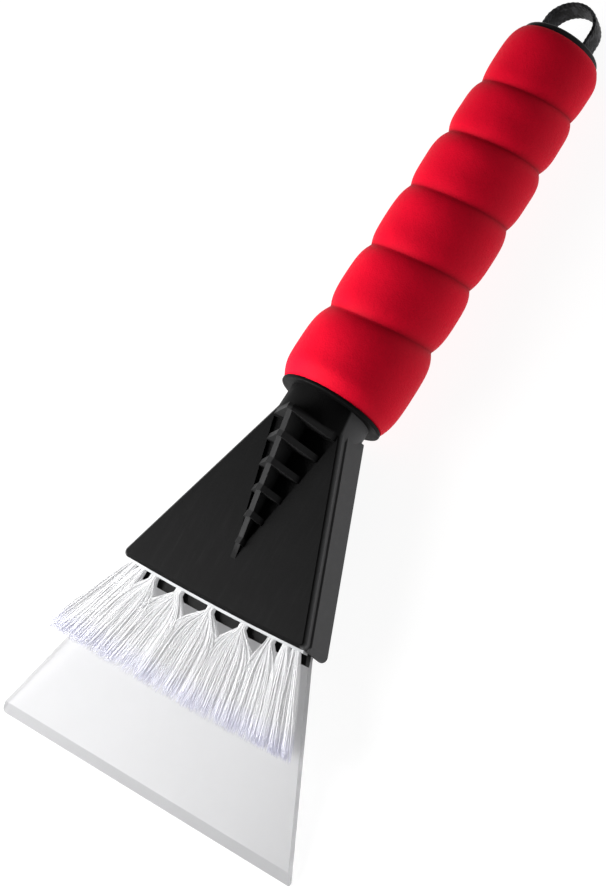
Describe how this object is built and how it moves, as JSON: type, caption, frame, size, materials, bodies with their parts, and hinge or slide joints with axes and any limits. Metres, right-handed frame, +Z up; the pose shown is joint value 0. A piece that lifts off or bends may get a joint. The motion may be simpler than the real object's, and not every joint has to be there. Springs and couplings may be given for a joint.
{
  "type": "windshield ice scraper",
  "caption": "Hand ice scraper: lobed foam grip with a webbing hang loop, a flared ribbed head, a row of clear bristle tufts and a wide clear flared blade with a bevelled edge.",
  "frame": {"origin": "on the surface the scraper lies on, under the middle of its bounding box", "axes": "+X is to the right when the blade points away from the holder, +Y runs from the blade to the hang loop, +Z is up, on the ribbed deck side"},
  "size_m": [0.1176, 0.2846, 0.0423],
  "materials": {
    "foam": "matt closed-cell foam with a fine leathery grain",
    "tube": "smooth extruded plastic",
    "trim_plastic": "satin moulded plastic",
    "head_plastic": "fine spark-eroded matt texture",
    "backing_plastic": "smooth milky plastic",
    "bristle": "clear drawn filaments, slightly cloudy in bulk",
    "blade_plastic": "clear polished plastic",
    "steel": "bright zinc plate",
    "webbing": "coarse plain-woven webbing"
  },
  "bodies": {
    "tool": {"foam_grip": "foam", "handle_tube": "tube", "collar": "trim_plastic", "grip_pin": "steel", "head_shell": "head_plastic", "brush_backing": "backing_plastic", "tuft_1": "bristle", "tuft_2": "bristle", "tuft_3": "bristle", "tuft_4": "bristle", "tuft_5": "bristle", "tuft_6": "bristle", "tuft_7": "bristle", "tuft_8": "bristle", "tuft_9": "bristle", "tuft_staples": "steel", "lower_lip": "head_plastic", "blade": "blade_plastic", "blade_screws": "steel", "end_cap": "trim_plastic", "loop_pin": "steel"},
    "loop": {"hang_loop": "webbing", "loop_spool": "trim_plastic"}
  },
  "joints": [
    {"name": "loop_swing", "type": "hinge", "parent": "tool", "child": "loop", "pos_m": [0, 0.12244, 0.01622], "axis": [0, 0.0426, 0.9991], "range_deg": [-20, 20]}
  ]
}
